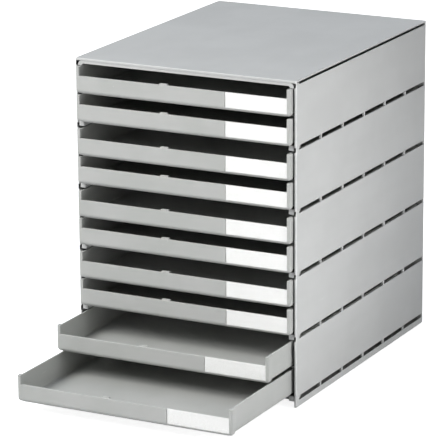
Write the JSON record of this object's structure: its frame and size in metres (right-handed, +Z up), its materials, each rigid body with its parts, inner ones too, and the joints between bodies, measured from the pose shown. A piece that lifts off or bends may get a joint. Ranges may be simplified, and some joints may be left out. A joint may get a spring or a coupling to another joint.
{
  "type": "desk drawer cabinet",
  "caption": "Stacking desk cabinet of shallow open-front drawers for sheets, card and craft stamps, with a card label at the right of each low lip.",
  "frame": {"origin": "middle of the centre foot pad's underside, on the surface the cabinet stands on", "axes": "+Z up, the drawers open towards -Y, +X to the right seen from the front"},
  "size_m": [0.246, 0.447, 0.3345],
  "materials": {
    "housing_plastic": "fine satin moulded",
    "drawer_plastic": "fine satin moulded",
    "label_card": "uncoated white card",
    "label_window": "clear polished",
    "foot_rubber": "matte"
  },
  "bodies": {
    "housing": {"top_cover": "housing_plastic", "stack_frame_1": "housing_plastic", "stack_frame_2": "housing_plastic", "stack_frame_3": "housing_plastic", "stack_frame_4": "housing_plastic", "stack_frame_5": "housing_plastic", "base_plate": "housing_plastic", "foot_pads": "foot_rubber"},
    "drawer_1": {"drawer_tray_1": "drawer_plastic", "label_card_1": "label_card", "label_window_1": "label_window"},
    "drawer_2": {"drawer_tray_2": "drawer_plastic", "label_card_2": "label_card", "label_window_2": "label_window"},
    "drawer_3": {"drawer_tray_3": "drawer_plastic", "label_card_3": "label_card", "label_window_3": "label_window"},
    "drawer_4": {"drawer_tray_4": "drawer_plastic", "label_card_4": "label_card", "label_window_4": "label_window"},
    "drawer_5": {"drawer_tray_5": "drawer_plastic", "label_card_5": "label_card", "label_window_5": "label_window"},
    "drawer_6": {"drawer_tray_6": "drawer_plastic", "label_card_6": "label_card", "label_window_6": "label_window"},
    "drawer_7": {"drawer_tray_7": "drawer_plastic", "label_card_7": "label_card", "label_window_7": "label_window"},
    "drawer_8": {"drawer_tray_8": "drawer_plastic", "label_card_8": "label_card", "label_window_8": "label_window"},
    "drawer_9": {"drawer_tray_9": "drawer_plastic", "label_card_9": "label_card", "label_window_9": "label_window"},
    "drawer_10": {"drawer_tray_10": "drawer_plastic", "label_card_10": "label_card", "label_window_10": "label_window"}
  },
  "joints": [
    {"name": "drawer_1_slide", "type": "slide", "parent": "housing", "child": "drawer_1", "axis": [0, -1, 0], "range_m": [0, 0.2295]},
    {"name": "drawer_2_slide", "type": "slide", "parent": "housing", "child": "drawer_2", "axis": [0, -1, 0], "range_m": [0, 0.2295]},
    {"name": "drawer_3_slide", "type": "slide", "parent": "housing", "child": "drawer_3", "axis": [0, -1, 0], "range_m": [0, 0.2295]},
    {"name": "drawer_4_slide", "type": "slide", "parent": "housing", "child": "drawer_4", "axis": [0, -1, 0], "range_m": [0, 0.2295]},
    {"name": "drawer_5_slide", "type": "slide", "parent": "housing", "child": "drawer_5", "axis": [0, -1, 0], "range_m": [0, 0.2295]},
    {"name": "drawer_6_slide", "type": "slide", "parent": "housing", "child": "drawer_6", "axis": [0, -1, 0], "range_m": [0, 0.2295]},
    {"name": "drawer_7_slide", "type": "slide", "parent": "housing", "child": "drawer_7", "axis": [0, -1, 0], "range_m": [0, 0.2295]},
    {"name": "drawer_8_slide", "type": "slide", "parent": "housing", "child": "drawer_8", "axis": [0, -1, 0], "range_m": [0, 0.2295]},
    {"name": "drawer_9_slide", "type": "slide", "parent": "housing", "child": "drawer_9", "axis": [0, -1, 0], "range_m": [-0.0477, 0.1818]},
    {"name": "drawer_10_slide", "type": "slide", "parent": "housing", "child": "drawer_10", "axis": [0, -1, 0], "range_m": [-0.1267, 0.1028]}
  ]
}
